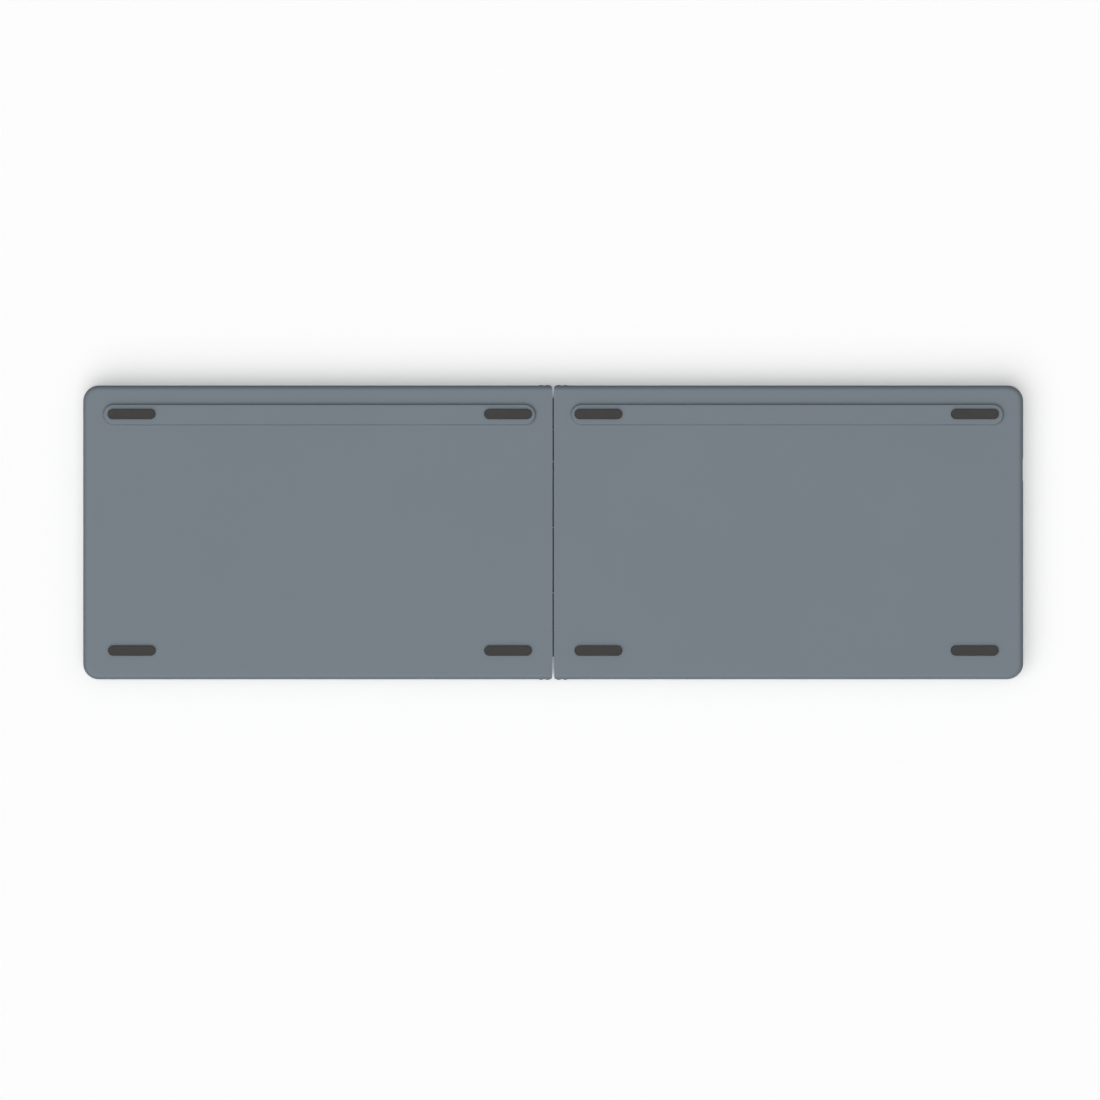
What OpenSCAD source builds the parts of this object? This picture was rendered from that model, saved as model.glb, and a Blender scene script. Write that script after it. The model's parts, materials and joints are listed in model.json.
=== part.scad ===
// Folding keyboard: two shallow trays of keys joined by a barrel hinge level with their rims,
// so that the keys face each other when it is shut. A hollow ridge under the rear edge of each
// half carries the rear feet and tips the open keyboard towards the typist.
// Millimetres. +X runs along the open keyboard, +Y to its rear edge and +Z up, and the origin
// is on the desk below its middle. Most modules draw the right half, and left() mirrors them.

/* [Keys] */
// Pitch of the keys along a row
unit_x = 18.7; // [18.2:0.1:20]
// Pitch of the rows
unit_y = 17.2; // [16.6:0.1:19]
// Gap between two key caps
key_gap = 2.6; // [2.2:0.1:3]
// Height of a key cap
cap_h = 1.7; // [1.5:0.1:2.4]
// Thickness of a cap's top
cap_top_t = 0.8; // [0.6:0.05:0.9]
// Thickness of a cap's skirt
skirt_t = 0.7; // [0.5:0.05:0.8]
// Radius of a cap's corners in plan
cap_r = 1.4; // [0.9:0.1:2]
// Travel of a key
travel = 1.2; // [1:0.1:1.6]
// Depth of the cap tops below the rim
cap_recess = 0.2; // [0.1:0.05:0.6]
// Clearance between a cap and its opening in the deck
opening_gap = 0.45; // [0.35:0.05:0.6]
// Clearance left under a pressed key
press_gap = 0.1; // [0.05:0.05:0.3]
// Thickness of the web between the keys
web_t = 0.8; // [0.6:0.05:0.8]

/* [Case] */
// Width of the rim at the outer ends
outer_rim = 4.6; // [4.6:0.1:9]
// Width of the rim beside the seam
seam_rim = 4.95; // [4.95:0.05:8]
// Width of the rim at the front and the rear
long_rim = 3.9; // [3.6:0.1:8]
// Gap between the two halves when open
seam_gap = 0.4; // [0.3:0.1:0.5]
// Gap between the two rims when shut
fold_gap = 0.3; // [0.2:0.05:0.8]
// Wall thickness of the bottom case
wall = 1.4; // [1.2:0.1:1.6]
// Floor thickness of the bottom case
floor_t = 1.2; // [1.1:0.1:1.6]
// Height of the bay for the boards and the battery
bay_h = 1.6; // [1.5:0.1:3]
// Radius of the outer corners in plan
corner_r = 5; // [3:0.5:7]
// Radius of the corners at the seam
seam_corner_r = 1.4; // [0.6:0.1:1.6]
// Widening of the seam on each half, from the barrel's ends out to the edges
seam_taper = 0.15; // [0.05:0.05:0.2]
// Rounding of the underside's edge
edge_r = 1.7; // [0.6:0.1:1.8]
// Rounding of the rim's outer edge
rim_edge_r = 0.6; // [0.3:0.1:1]
// Width of the ledge under the support plate
ledge_w = 0.8; // [0.6:0.1:1]
// Radius of the two small grip ribs on the long walls beside the seam
rib_r = 1.5; // [1.2:0.1:1.5]
// Height that a grip rib stands proud
rib_proud = 0.2; // [0.1:0.05:0.3]
// Distance of the two grip ribs from the middle of the seam
rib_x = [1.8, 3.85];

/* [Ridge and feet] */
// Height of the ridge
ridge_h = 1.2; // [1:0.1:3]
// Width of the ridge at its root
ridge_w = 7.9; // [7.7:0.1:9]
// Distance from the middle of the seam to the ridge
ridge_seam = 5.05; // [3:0.05:6]
// Distance from the outer edge to the ridge
ridge_outer = 5.9; // [4:0.1:7]
// Distance that the ridge's middle line lies in front of the rear feet's
ridge_shift = 0.2; // [0:0.05:0.3]
// Radius of the hollow fillet at the ridge's root
ridge_fillet = 1; // [0.3:0.1:1]
// Thickness of the ridge's wall, with the fillet
ridge_wall = 1.7; // [1.7:0.1:2]
// Length of a rubber foot
foot_l = 15.1; // [12:0.1:20]
// Width of a rubber foot
foot_w = 3.1; // [3:0.1:5]
// Height of a foot below the surface that it is stuck to
foot_h = 0.8; // [0.5:0.1:3]
// Rounding of a foot's lower edge
foot_r = 0.25; // [0.1:0.05:0.5]
// Depth of a foot's pocket
pocket_t = 0.4; // [0.2:0.05:0.6]
// Clearance round a foot in its pocket
pocket_gap = 0.1; // [0.05:0.05:0.3]
// Distance of the foot rows from the rear and front edges
foot_edge = 9.2; // [7:0.1:12]
// Distance of the outer feet's middles from the outer edge
foot_outer = 15.6; // [14:0.1:20]
// Distance of the inner feet's middles from the middle of the seam
foot_seam = 14.4; // [13.5:0.1:20]

/* [Hinge] */
// Outer radius of the hinge barrel
barrel_r = 2; // [1.8:0.1:2.4]
// Radius of the hinge pins
pin_r = 0.8; // [0.6:0.05:1]
// Running clearance round the pins
pin_gap = 0.05; // [0.02:0.01:0.1]
// Length of a knuckle on a pin
knuckle_l = 10; // [8:0.5:12]
// Gap between two knuckles
knuckle_gap = 0.2; // [0.1:0.05:0.3]
// Distance of the barrel's rear end from the rear edge
barrel_rear = 3.9; // [3.6:0.1:8]
// Distance of the barrel's front end from the front edge
barrel_front = 7.2; // [4:0.1:8]
// Clearance round the barrel
barrel_gap = 0.2; // [0.15:0.05:0.3]
// Thickness of a hinge leaf
leaf_t = 0.8; // [0.7:0.05:0.9]
// Width of a hinge leaf, from the axis
leaf_w = 4.6; // [4.5:0.05:4.65]
// Radius of the hollow in the middle of the barrel
sleeve_r = 1.3; // [1.2:0.05:1.4]

/* [Inside] */
// Thickness of the support plate
plate_t = 0.4; // [0.3:0.05:0.6]
// Thickness of the membrane
membrane_t = 0.3; // [0.2:0.05:0.5]
// Clearance at the edges of the plate and the membrane
sheet_gap = 0.15; // [0.1:0.05:0.2]
// Radius of a rubber dome at its base
dome_r = 2.4; // [2:0.1:2.5]
// Width of the outer link of a scissor
link_w = 9.4; // [9.2:0.1:9.4]
// Length of the scissor links
link_l = 10; // [9:0.1:10.5]
// Width of a link's bars
link_bar = 0.85; // [0.7:0.05:0.9]
// Thickness of a link
link_t = 0.5; // [0.4:0.05:0.5]
// Gap between the inner and the outer link
link_gap = 0.25; // [0.2:0.05:0.3]
// Radius of a stabiliser wire
wire_r = 0.4; // [0.3:0.05:0.4]
// Smallest key that has a stabiliser wire, in key pitches
wire_from = 1.9; // [1.7:0.1:2.4]
// Radius of a case screw's shank
screw_r = 0.7; // [0.6:0.05:0.8]
// Radius of a screw's head
head_r = 1.3; // [1.2:0.05:1.35]
// Height of a screw's head
head_h = 0.45; // [0.3:0.05:0.5]
// Height of the screw pads above the case floor
pad_h = 0.8; // [0.6:0.1:1]
// Radius of the screw pads
pad_r = 2.6; // [2.5:0.1:3]
// Thickness of the main board
board_t = 0.8; // [0.6:0.1:1]
// Size of the main board
board_size = [58, 30];
// Height of the board above the floor
board_lift = 0.2; // [0.1:0.05:0.3]
// Size of the radio module
module_size = [14, 10, 0.45];
// Size of the battery
battery_size = [62, 42, 1.4];
// Size of a closing magnet
magnet_size = [2, 10, 1.4];
// Distance of the magnets from the middle of the depth
magnet_y = 26; // [15:1:32]
// Width of the flex ribbon
ribbon_w = 6; // [4:0.5:8]
// Thickness of the flex ribbon
ribbon_t = 0.2; // [0.1:0.05:0.25]

/* [Ports and lights] */
// Width, height and length of the charging socket
socket_size = [8.94, 3.26, 5.4];
// Thickness of the socket's shell
socket_t = 0.35; // [0.25:0.05:0.4]
// Distance of the socket from the middle of the depth
socket_y = 20; // [10:0.5:25]
// Length and height of the power switch's knob
knob_size = [2.8, 1];
// Travel of the power switch
knob_travel = 2; // [1.5:0.1:2.5]
// Distance of the power switch from the middle of the depth
switch_y = 3; // [-10:0.5:5]
// Radius of a status light
light_r = 0.6; // [0.4:0.05:0.8]
// Pitch of the status lights
light_pitch = 4.5; // [3:0.5:8]
// Distance of the first status light from the middle of the seam
light_x = 20; // [15:1:60]

/* [Hidden] */
$fn = 64;
// Widths of the keys of each row in pitches, from the rear row, each row from left to right
left_rows = [
    [1.5, 1, 1, 1, 1, 1, 1],
    [2, 1, 1, 1, 1, 1.5],
    [2.25, 1, 1, 1, 1, 1.25],
    [2.5, 1, 1, 1, 1, 1],
    [1.25, 1, 1, 1.25, 3]
];
right_rows = [
    [1, 1, 1, 1, 1, 1, 1.5],
    [1, 1, 1, 1, 1, 1, 0.75, 0.75],
    [1, 1, 1, 1, 1, 1, 1.5],
    [1.5, 1, 1, 1, 1, 1, 1],
    [2.5, 1, 1, 1, 1, 1]
];
rows = len(left_rows);
half_units = sum_to(left_rows[0], len(left_rows[0]));

// Clearances
tight_gap = 0.02; // round a screw's thread and a pressed-in pin
snug_gap = 0.05; // round the magnets, the screw heads and the lights
close_gap = 0.1; // round what drops into its place
cut = 0.5; // how far a cut runs past the face that it opens
fillet_in = 0.02; // how far the ridge's fillet runs into its flank
fillet_out = 0.1; // and how far the fillet's centre stands outside the ridge
least_r = 0.2; // smallest inner corner

// Plan of a half
field_x1 = seam_gap / 2 + seam_rim;
field_x2 = field_x1 + half_units * unit_x;
field_d = rows * unit_y;
field_r = 1;
half_w = field_x2 + outer_rim;
body_d = field_d + 2 * long_rim;

// Levels above the flat underside
plunger_drop = 0.15; // of the plunger below the middle of the cap's inside
z_plate = floor_t + bay_h;
z_membrane = z_plate + plate_t;
z_sheet = z_membrane + membrane_t;
z_cap = z_sheet + press_gap + travel;
z_cap_top = z_cap + cap_h;
z_ceiling = z_cap_top - cap_top_t;
z_rim = z_cap_top + cap_recess;
z_axis = z_rim + fold_gap / 2;
z_web_top = z_cap_top - travel - press_gap;
z_part = z_web_top - web_t;
z_leaf = z_axis - barrel_r;
z_plunger = (z_cap + z_ceiling) / 2 - plunger_drop;
z_pad = floor_t + pad_h;

// Feet, and the tilt that the ridge gives
foot_xs = [foot_seam, half_w - foot_outer];
foot_y = body_d / 2 - foot_edge;
tilt = atan(ridge_h / (2 * foot_y));
lift = foot_h * cos(tilt) + foot_y * sin(tilt);
foot_trim = 0.1; // extra length of the feet, cut off level with the desk

// Bottom case
rail_margin = 0.25;
rail_x = leaf_w + rail_margin;
pocket_x2 = half_w - wall;
pocket_d = body_d - 2 * wall;
pocket_r = corner_r - wall;
lip_t = 1;
lip_gap = close_gap;
magnet_skin = 0.5; // what is left of the rim over a magnet

// Hinge barrel: six knuckles, turn about on the left and the right half, from the rear
barrel_y2 = body_d / 2 - barrel_rear;
barrel_y1 = -body_d / 2 + barrel_front;
sleeve_l = (barrel_y2 - barrel_y1 - 5 * knuckle_gap - 4 * knuckle_l) / 2;
knuckle_ls = [knuckle_l, knuckle_l, sleeve_l, sleeve_l, knuckle_l, knuckle_l];
leaf_screw_x = 3.35;
leaf_screw_r = 0.5;
leaf_screw_l = 2.4;
leaf_head_r = 0.95;
leaf_screw_in = 6; // from the barrel's ends to the outer screws
leaf_screw_ys = [
    barrel_y1 + leaf_screw_in,
    (barrel_y1 + barrel_y2 + sleeve_l) / 2,
    barrel_y2 - leaf_screw_in
];
ribbon_inset = 3; // from a sleeve's outer end to the ribbon
riser_x = 1.3;
roll_gap = 0.25; // round the rolled ribbon in its sleeve
roll_r = sleeve_r - roll_gap;
z_ribbon = floor_t + board_lift + board_t + close_gap;
ribbon_room = 0.4;
ribbon_tail = 6; // length of the ribbon on the main board

// Inside
nut_r = 2; // press nuts under the support plate
hook = [1.2, 0.8]; // hooks of a cap that hold its scissor
hook_lift = 0.2; // of the hooks above the plunger
link_rest = 0.04; // clearance of the scissor above the sheet
link_top = z_plunger + hook_lift;
link_angle = asin((link_top - z_sheet - link_rest - link_t) / link_l);
stub_sink = 0.1; // of a scissor's stub in the inner link
wire_in = 0.4; // from a cap's skirt to its wire
wire_arm_in = 2; // from a cap's skirt to the end of the wire's arm
board_in = [4, 0.5]; // from the ledge to the main board
board_x2 = half_w - wall - ledge_w - board_in[0];
board_x1 = board_x2 - board_size[0];
board_y2 = body_d / 2 - wall - ledge_w - board_in[1];
board_y1 = board_y2 - board_size[1];
board_hole_gap = 0.3; // round the screw posts that pass through the board
post_r = 1.5; // posts under the board
post_in = [[4, 2.5], [4, 9]]; // from the board's edges to the posts
module_in = [14, 1]; // from the board's edges to the radio module
battery_up = 6; // from the battery's middle up to the ribbon
battery_x1 = half_w / 2 - battery_size[0] / 2;

// Charging socket and power switch, in the end wall of the left half
socket_inset = 0.2;
socket_drop = 0.14; // from the parting line to the socket
socket_z = z_part - socket_size[1] / 2 - socket_drop;
socket_x1 = half_w - socket_inset - socket_size[2];
socket_back = 1; // thickness of its back, and the room behind it
port_gap = close_gap;
tongue_t = 0.7;
tongue_in = [1.2, 0.7]; // from the socket's sides and from its mouth to the tongue
switch_d = 2.8;
switch_end = 1.6; // of the switch beyond the knob's travel
switch_l = knob_size[0] + knob_travel + 2 * switch_end;
switch_h = bay_h - close_gap;
switch_track = 1.2; // depth of the knob's track
track_end = 0.5;
knob_root = 1;
switch_z = floor_t + switch_h / 2;
switch_x2 = half_w - wall;

function sum_to(list, n, k = 0) = k < n ? list[k] + sum_to(list, n, k + 1) : 0;

// Middle of key k of a row, measured from the left end of that half's key field
function key_x(list, k) = (sum_to(list, k) + list[k] / 2) * unit_x;
function row_y(row) = field_d / 2 - (row + 0.5) * unit_y;
function cap_w(units) = units * unit_x - key_gap;
cap_d = unit_y - key_gap;

// Rear end of knuckle n
function knuckle_y(n) = barrel_y2 - sum_to(knuckle_ls, n) - n * knuckle_gap;

// ---- places ----

// From the level of the underside to the desk, tipped up by the ridge
module on_desk() {
    translate([0, 0, lift]) rotate([tilt, 0, 0]) children();
}

module right() {
    on_desk() children();
}

module left() {
    on_desk() mirror([1, 0, 0]) children();
}

// At every key of a half that is at least this many pitches wide
module at_keys(list, x1, from) {
    for (row = [0 : len(list) - 1]) for (k = [0 : len(list[row]) - 1])
        if (list[row][k] >= from)
            translate([x1 + key_x(list[row], k), row_y(row), 0]) {
                $units = list[row][k];
                children();
            }
}

// The same for the right half, and for the left half's mirror image
module at_right_keys(from = 0) {
    at_keys(right_rows, field_x1, from) children();
}

module at_left_keys(from = 0) {
    mirror([1, 0, 0]) at_keys(left_rows, -field_x2, from) children();
}

// At every foot, where the rear ones start lower, on the ridge
module at_feet() {
    for (x = foot_xs) for (side = [-1, 1]) {
        $drop = side > 0 ? ridge_h : 0;
        translate([x, side * foot_y, -$drop]) children();
    }
}

module at_screws() {
    for (x = foot_xs) for (side = [-1, 1]) translate([x, side * foot_y, 0]) children();
}

// ---- shapes ----

// Rectangle with round corners
module plan_rect(x1, x2, d, r) {
    translate([x1, -d / 2 + r]) square([x2 - x1, d - 2 * r]);
    translate([x1 + r, -d / 2]) square([x2 - x1 - 2 * r, d]);
    for (x = [x1 + r, x2 - r]) for (side = [-1, 1]) translate([x, side * (d / 2 - r)]) circle(r);
}

module slab(x1, x2, d, r, z1, z2) {
    translate([0, 0, z1]) linear_extrude(z2 - z1) plan_rect(x1, x2, d, r);
}

// Section through an edge, rounded at its lower outer corner
module edge_section(reach, h, r) {
    square([reach - r, h]);
    translate([0, r]) square([reach, h - r]);
    translate([reach - r, r]) circle(r);
}

// Half of the keyboard's outline, with the lower edge rounded on its three free sides
module shell_block(h, r) {
    x1 = seam_gap / 2;
    x2 = half_w - corner_r;
    y2 = body_d / 2 - corner_r;
    translate([x1, -y2, 0]) cube([x2 - x1, 2 * y2, h]);
    translate([x2, y2, 0]) rotate([90, 0, 0]) linear_extrude(2 * y2) edge_section(corner_r, h, r);
    for (side = [0, 1]) mirror([0, side, 0]) {
        translate([x1, y2, 0]) rotate([90, 0, 90]) linear_extrude(x2 - x1)
            edge_section(corner_r, h, r);
        translate([x2, y2, 0]) rotate_extrude(angle = 90) edge_section(corner_r, h, r);
    }
}

// Section through the ridge: an upright flank that runs into the underside in a hollow fillet
module ridge_section(reach) {
    h = ridge_h + floor_t / 2;
    x = reach + fillet_out - ridge_fillet;
    square([x + fillet_in, h]);
    difference() {
        translate([x, ridge_h - ridge_fillet]) square([reach - x, h - ridge_h + ridge_fillet]);
        translate([reach + fillet_out, ridge_h - ridge_fillet + fillet_in / 2]) circle(ridge_fillet);
    }
}

// Bar with round ends, from z = 0 up, swept from a section that is half as wide as the bar
module swept_bar(l, w) {
    straight = l / 2 - w / 2;
    for (end = [0, 1]) mirror([end, 0, 0]) {
        translate([straight, 0, 0]) rotate([0, 0, -90]) rotate_extrude(angle = 180) children();
        for (side = [0, 1]) mirror([0, side, 0]) rotate([90, 0, 90]) linear_extrude(straight) children();
    }
}

module round_bar(l, w, h) {
    linear_extrude(h) stadium(l, w);
}

module stadium(l, w) {
    square([l - w, w], center = true);
    for (end = [-1, 1]) translate([end * (l - w) / 2, 0]) circle(w / 2);
}

// What the small corner radius at the seam takes off, as far out as the grip ribs stand
module seam_corners(z1, z2) {
    for (side = [0, 1]) mirror([0, side, 0]) translate([seam_gap / 2, body_d / 2 + rib_proud, z1])
        linear_extrude(z2 - z1) difference() {
            translate([-cut, -seam_corner_r]) square([seam_corner_r + cut, seam_corner_r + cut]);
            translate([seam_corner_r, -seam_corner_r]) circle(seam_corner_r);
        }
}

// Widening of the seam beyond the barrel's ends
module seam_ends(z1, z2) {
    x = seam_gap / 2;
    for (ys = [[barrel_y1, -body_d / 2 - cut], [barrel_y2, body_d / 2 + cut]])
        translate([0, 0, z1]) linear_extrude(z2 - z1)
            polygon([[x - cut, ys[0]], [x, ys[0]], [x + seam_taper, ys[1]], [x - cut, ys[1]]]);
}

module grip_ribs(z1, z2) {
    for (x = rib_x) for (side = [-1, 1])
        translate([x, side * (body_d / 2 + rib_proud - rib_r), z1]) cylinder(r = rib_r, h = z2 - z1);
}

// Room for the barrel as it turns
module barrel_room() {
    translate([0, barrel_y2 + cut, z_axis]) rotate([90, 0, 0])
        cylinder(r = barrel_r + barrel_gap, h = barrel_y2 - barrel_y1 + 2 * cut);
}

// Box of the charging socket, grown by a clearance
module socket_room(gap) {
    w = socket_size[0] + 2 * gap;
    h = socket_size[1] + 2 * gap;
    translate([socket_x1 - gap, socket_y - w / 2, socket_z - h / 2])
        cube([socket_size[2] + gap + cut, w, h]);
}

// Charging socket's outline, looking along X
module socket_section(grow) {
    h = socket_size[1] + 2 * grow;
    w = socket_size[0] + 2 * grow;
    rotate([90, 0, 90]) linear_extrude(socket_size[2] + cut + wall) stadium(w, h);
}

// Where the flex ribbon of a half enters its sleeve: n is the sleeve's place in the barrel
function ribbon_y(n) =
    knuckle_y(n) - sleeve_l / 2 + (n == 2 ? 1 : -1) * (sleeve_l / 2 - ribbon_inset - ribbon_w / 2);

// ---- bottom case ----

module bottom_case(sleeve) {
    difference() {
        union() {
            difference() {
                union() {
                    shell_block(z_part, edge_r);
                    grip_ribs(edge_r, z_part);
                    ridge_outside();
                }
                seam_corners(-cut, z_part + cut);
                seam_ends(-cut, z_part + cut);
                slab(rail_x, pocket_x2, pocket_d, pocket_r, z_plate, z_part + cut);
                slab(rail_x + ledge_w, pocket_x2 - ledge_w, pocket_d - 2 * ledge_w, pocket_r - ledge_w,
                    floor_t, z_plate + cut);
                ridge_hollow();
            }
            // rail that carries the hinge leaf
            translate([seam_gap / 2, barrel_y1, floor_t / 2])
                cube([rail_x - seam_gap / 2, barrel_y2 - barrel_y1, z_leaf - floor_t / 2]);
            screw_posts();
        }
        foot_pockets();
        screw_holes();
        barrel_room();
        for (y = leaf_screw_ys) translate([leaf_screw_x, y, z_leaf - leaf_screw_l])
            cylinder(r = leaf_screw_r + tight_gap, h = leaf_screw_l + cut);
        // way of the flex ribbon
        translate([riser_x - ribbon_room, ribbon_y(sleeve) - ribbon_w / 2 - ribbon_room, floor_t])
            cube([rail_x + ledge_w - riser_x + ribbon_room + cut, ribbon_w + 2 * ribbon_room, z_leaf]);
    }
}

module ridge_outside() {
    l = half_w - ridge_outer - ridge_seam;
    translate([ridge_seam + l / 2, foot_y - ridge_shift, -ridge_h])
        swept_bar(l, ridge_w) ridge_section(ridge_w / 2);
}

// The ridge is hollow and opens into the case
module ridge_hollow() {
    l = half_w - ridge_outer - ridge_seam - 2 * ridge_wall;
    translate([ridge_seam + ridge_wall + l / 2, foot_y - ridge_shift, floor_t - ridge_h])
        round_bar(l, ridge_w - 2 * ridge_wall, ridge_h + cut);
}

module screw_posts() {
    at_feet() translate([0, 0, floor_t / 2]) cylinder(r = pad_r, h = $drop + z_pad - floor_t / 2);
}

module screw_holes() {
    at_screws() translate([0, 0, -ridge_h - cut]) {
        cylinder(r = screw_r + close_gap, h = z_pad + ridge_h + 2 * cut);
        cylinder(r = head_r + close_gap, h = ridge_h + cut + pocket_t + head_h + snug_gap);
    }
}

module foot_pockets() {
    at_feet() translate([0, 0, -cut])
        round_bar(foot_l + 2 * pocket_gap, foot_w + 2 * pocket_gap, pocket_t + cut);
}

// Openings for the socket and the switch, and the posts of the board
module left_case() {
    difference() {
        bottom_case(2);
        translate([socket_x1, socket_y, socket_z]) socket_section(port_gap);
        socket_slot();
        switch_slot();
        switch_room();
    }
    for (x = [board_x1 + post_in[0][0], board_x2 - post_in[0][1]])
        for (y = [board_y1 + post_in[1][0], board_y2 - post_in[1][1]])
            translate([x, y, floor_t / 2]) cylinder(r = post_r, h = floor_t / 2 + board_lift);
}

// Takes the ledge away round the socket
module socket_slot() {
    w = socket_size[0] + 2 * port_gap;
    translate([socket_x1 - socket_back, socket_y - w / 2, floor_t])
        cube([pocket_x2 - socket_x1 + socket_back, w, z_part]);
}

module switch_slot() {
    l = knob_size[0] + knob_travel + 4 * close_gap;
    h = knob_size[1] + 2 * close_gap;
    translate([switch_x2 - cut, switch_y - l / 2, switch_z - h / 2]) cube([wall + 2 * cut, l, h]);
}

module switch_room() {
    l = switch_l + 2 * close_gap;
    translate([switch_x2 - switch_d - close_gap, switch_y - l / 2, floor_t])
        cube([switch_d + close_gap, l, bay_h]);
}

module case_right() color("#788188") right() bottom_case(3);
module case_left() color("#788188") left() left_case();

// ---- deck frame ----

module deck_frame() {
    difference() {
        union() {
            translate([0, 0, z_rim]) mirror([0, 0, 1]) shell_block(z_rim - z_part, rim_edge_r);
            grip_ribs(z_part, z_rim - rim_edge_r);
            deck_lip();
        }
        seam_corners(z_part - cut, z_rim + cut);
        seam_ends(z_part - cut, z_rim + cut);
        slab(field_x1, field_x2, field_d, field_r, z_web_top, z_rim + cut);
        barrel_room();
        // room for the rail and the leaf
        translate([0, barrel_y1 - close_gap, z_sheet - cut])
            cube([rail_x + close_gap, barrel_y2 - barrel_y1 + 2 * close_gap,
                z_leaf + leaf_t + close_gap - z_sheet + cut]);
        magnet_pockets();
        children();
    }
}

// Tongue that holds the plate and the membrane down on the ledge
module deck_lip() {
    difference() {
        slab(rail_x + lip_gap, pocket_x2 - lip_gap, pocket_d - 2 * lip_gap, pocket_r,
            z_sheet, z_part + web_t / 2);
        slab(rail_x + lip_gap + lip_t, pocket_x2 - lip_gap - lip_t, pocket_d - 2 * (lip_gap + lip_t),
            pocket_r, z_sheet - cut, z_part + web_t);
    }
}

module key_opening() {
    w = cap_w($units) + 2 * opening_gap;
    slab(-w / 2, w / 2, cap_d + 2 * opening_gap, cap_r + opening_gap, z_sheet, z_rim);
}

module magnet_pockets() {
    size = [magnet_size[0] + 2 * snug_gap, magnet_size[1] + 2 * snug_gap];
    at_magnets() translate([-size[0] / 2, -size[1] / 2, z_part / 2])
        cube([size[0], size[1], z_rim - magnet_skin - z_part / 2]);
}

module at_magnets() {
    for (side = [-1, 1])
        translate([pocket_x2 - snug_gap - magnet_size[0] / 2, side * magnet_y, 0]) children();
}

module light_holes() {
    at_lights() translate([0, 0, z_sheet - cut]) cylinder(r = light_r + snug_gap, h = z_rim);
}

module at_lights() {
    for (k = [0 : 2]) translate([light_x + k * light_pitch, (field_d + pocket_d) / 4, 0]) children();
}

module deck_right() color("#6f7880") right() deck_frame() at_right_keys() key_opening();

module deck_left() color("#6f7880") left() deck_frame() {
    at_left_keys() key_opening();
    light_holes();
    socket_room(port_gap);
}

// ---- keys and what is under them ----

// One key cap, with the boss that presses its dome and the hooks of its scissor
module cap(units) {
    w = cap_w(units);
    difference() {
        slab(-w / 2, w / 2, cap_d, cap_r, z_cap, z_cap_top);
        slab(-w / 2 + skirt_t, w / 2 - skirt_t, cap_d - 2 * skirt_t, max(cap_r - skirt_t, least_r),
            z_cap - cut, z_ceiling);
    }
    translate([0, 0, z_plunger]) cylinder(r = dome_r / 2, h = z_ceiling - z_plunger + cap_top_t / 2);
    for (side = [-1, 1]) for (end = [-1, 1])
        translate([side * (link_w / 2 - link_bar), end * (link_l / 2 - link_bar), link_top])
            translate([-hook[0] / 2, -hook[1] / 2, 0])
                cube([hook[0], hook[1], z_ceiling - link_top + cap_top_t / 2]);
}

// Keys first to last of a row
module key_run(list, x1, row, first, last) {
    color("#33373b") on_desk() for (k = [first : last])
        translate([x1 + key_x(list[row], k), row_y(row), 0]) cap(list[row][k]);
}

module left_keys(row, first, last) key_run(left_rows, -field_x2, row, first, last);
module right_keys(row, first, last) key_run(right_rows, field_x1, row, first, last);

// Two crossed frames that keep a key level
module scissor() {
    inner_w = link_w - 2 * link_bar - 2 * link_gap;
    translate([0, 0, (link_top + z_sheet) / 2]) {
        rotate([link_angle, 0, 0]) link(link_w);
        rotate([-link_angle, 0, 0]) {
            link(inner_w);
            for (side = [0, 1]) mirror([side, 0, 0]) translate([inner_w / 2 - stub_sink, 0, 0])
                rotate([0, 90, 0]) cylinder(r = 0.4 * link_t, h = stub_sink + link_gap - snug_gap);
        }
    }
}

module link(w) {
    difference() {
        cube([w, link_l, link_t], center = true);
        cube([w - 2 * link_bar, link_l - 2 * link_bar, 2 * link_t], center = true);
    }
}

module dome() {
    translate([0, 0, z_sheet]) cylinder(r1 = dome_r, r2 = dome_r / 2, h = z_plunger - z_sheet);
}

// Bent wire that keeps a wide key level
module wire() {
    reach = cap_w($units) / 2 - skirt_t - 2 * wire_r - wire_in;
    y2 = cap_d / 2 - skirt_t - wire_r - wire_in;
    y1 = -cap_d / 2 + skirt_t + wire_r + wire_arm_in;
    translate([0, 0, z_sheet + wire_r]) {
        translate([-reach, y2, 0]) rotate([0, 90, 0]) cylinder(r = wire_r, h = 2 * reach);
        for (x = [-reach, reach]) translate([x, y2, 0]) {
            sphere(wire_r);
            rotate([90, 0, 0]) cylinder(r = wire_r, h = y2 - y1);
        }
    }
}

module domes_right() color("#d8d8d4") right() at_right_keys() dome();
module domes_left() color("#d8d8d4") left() at_left_keys() dome();
module links_right() color("#f0f0ec") right() at_right_keys() scissor();
module links_left() color("#f0f0ec") left() at_left_keys() scissor();
module wires_right() color("#b8babc") right() at_right_keys(wire_from) wire();
module wires_left() color("#b8babc") left() at_left_keys(wire_from) wire();

// ---- plate and membrane ----

module sheet(z, t) {
    slab(rail_x + sheet_gap, pocket_x2 - sheet_gap, pocket_d - 2 * sheet_gap, pocket_r, z, z + t);
}

module support_plate() {
    difference() {
        union() {
            sheet(z_plate, plate_t);
            at_screws() translate([0, 0, z_pad]) cylinder(r = nut_r, h = z_plate - z_pad + plate_t / 2);
        }
        at_screws() translate([0, 0, z_pad - cut]) cylinder(r = screw_r + tight_gap, h = z_part);
    }
}

module plate_right() color("#a9adb0") right() support_plate();

module plate_left() color("#a9adb0") left() difference() {
    support_plate();
    socket_room(port_gap);
}

module membrane_right() color("#cfe0d8") right() sheet(z_membrane, membrane_t);

module membrane_left() color("#cfe0d8") left() difference() {
    sheet(z_membrane, membrane_t);
    socket_room(port_gap);
}

// ---- feet, screws and magnets ----

module feet() {
    h = foot_h + foot_trim + pocket_t;
    at_feet() translate([0, 0, -foot_h - foot_trim])
        swept_bar(foot_l, foot_w) edge_section(foot_w / 2, h, foot_r);
}

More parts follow.
